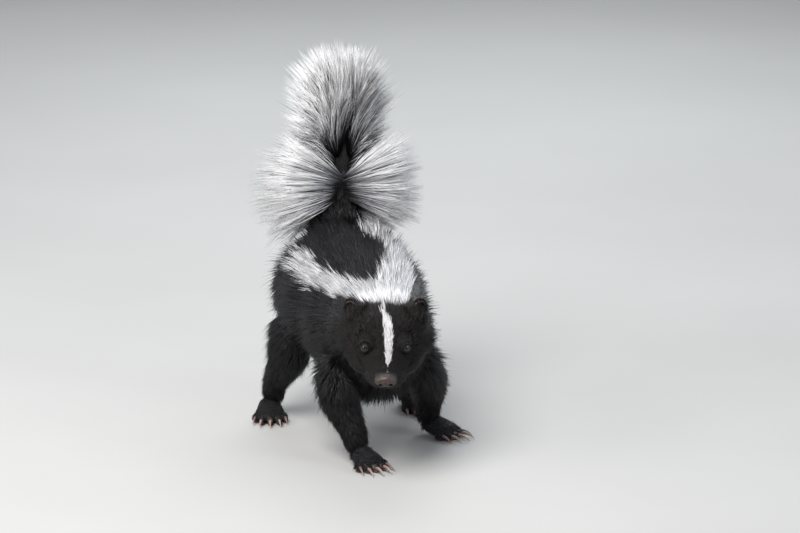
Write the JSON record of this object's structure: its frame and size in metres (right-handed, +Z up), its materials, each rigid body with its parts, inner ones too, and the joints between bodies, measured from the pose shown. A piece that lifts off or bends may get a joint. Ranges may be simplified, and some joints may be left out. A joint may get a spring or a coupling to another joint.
{
  "type": "striped skunk",
  "caption": "Life-size still model of a young striped skunk stepping forward with its bushy tail raised, head turned and lowered.",
  "frame": {"origin": "on the floor, under the middle of the model's outer box", "axes": "+Z up; the animal faces -Y and its own left side is +X"},
  "size_m": [0.129, 0.2382, 0.2379],
  "materials": {
    "black_fur": "long dense guard hair, near black with a cool sheen",
    "white_fur": "soft white hair of the blaze, nape and stripes",
    "tail_fur": "very long hair, black at the root and silver white at the tip",
    "nose_skin": "bare, damp, brown with a pink cast",
    "eye": "wet black",
    "paw_skin": "dark paws with bare, faintly pink toes",
    "claw": "pale pinkish horn, slightly translucent"
  },
  "bodies": {
    "root": {"head": "black_fur", "lower_jaw": "black_fur", "ear_left": "black_fur", "ear_right": "black_fur", "torso": "black_fur", "fore_right_leg": "black_fur", "fore_left_leg": "black_fur", "hind_right_leg": "black_fur", "hind_left_leg": "black_fur", "tail_stem": "black_fur", "neck": "white_fur", "tail_plume": "tail_fur", "nose": "nose_skin", "eye_left": "eye", "eye_right": "eye", "fore_right_foot": "paw_skin", "fore_right_claw_1": "claw", "fore_right_claw_2": "claw", "fore_right_claw_3": "claw", "fore_right_claw_4": "claw", "fore_right_claw_5": "claw", "fore_left_foot": "paw_skin", "fore_left_claw_1": "claw", "fore_left_claw_2": "claw", "fore_left_claw_3": "claw", "fore_left_claw_4": "claw", "fore_left_claw_5": "claw", "hind_right_foot": "paw_skin", "hind_right_claw_1": "claw", "hind_right_claw_2": "claw", "hind_right_claw_3": "claw", "hind_right_claw_4": "claw", "hind_right_claw_5": "claw", "hind_left_foot": "paw_skin", "hind_left_claw_1": "claw", "hind_left_claw_2": "claw", "hind_left_claw_3": "claw", "hind_left_claw_4": "claw", "hind_left_claw_5": "claw"}
  },
  "joints": []
}
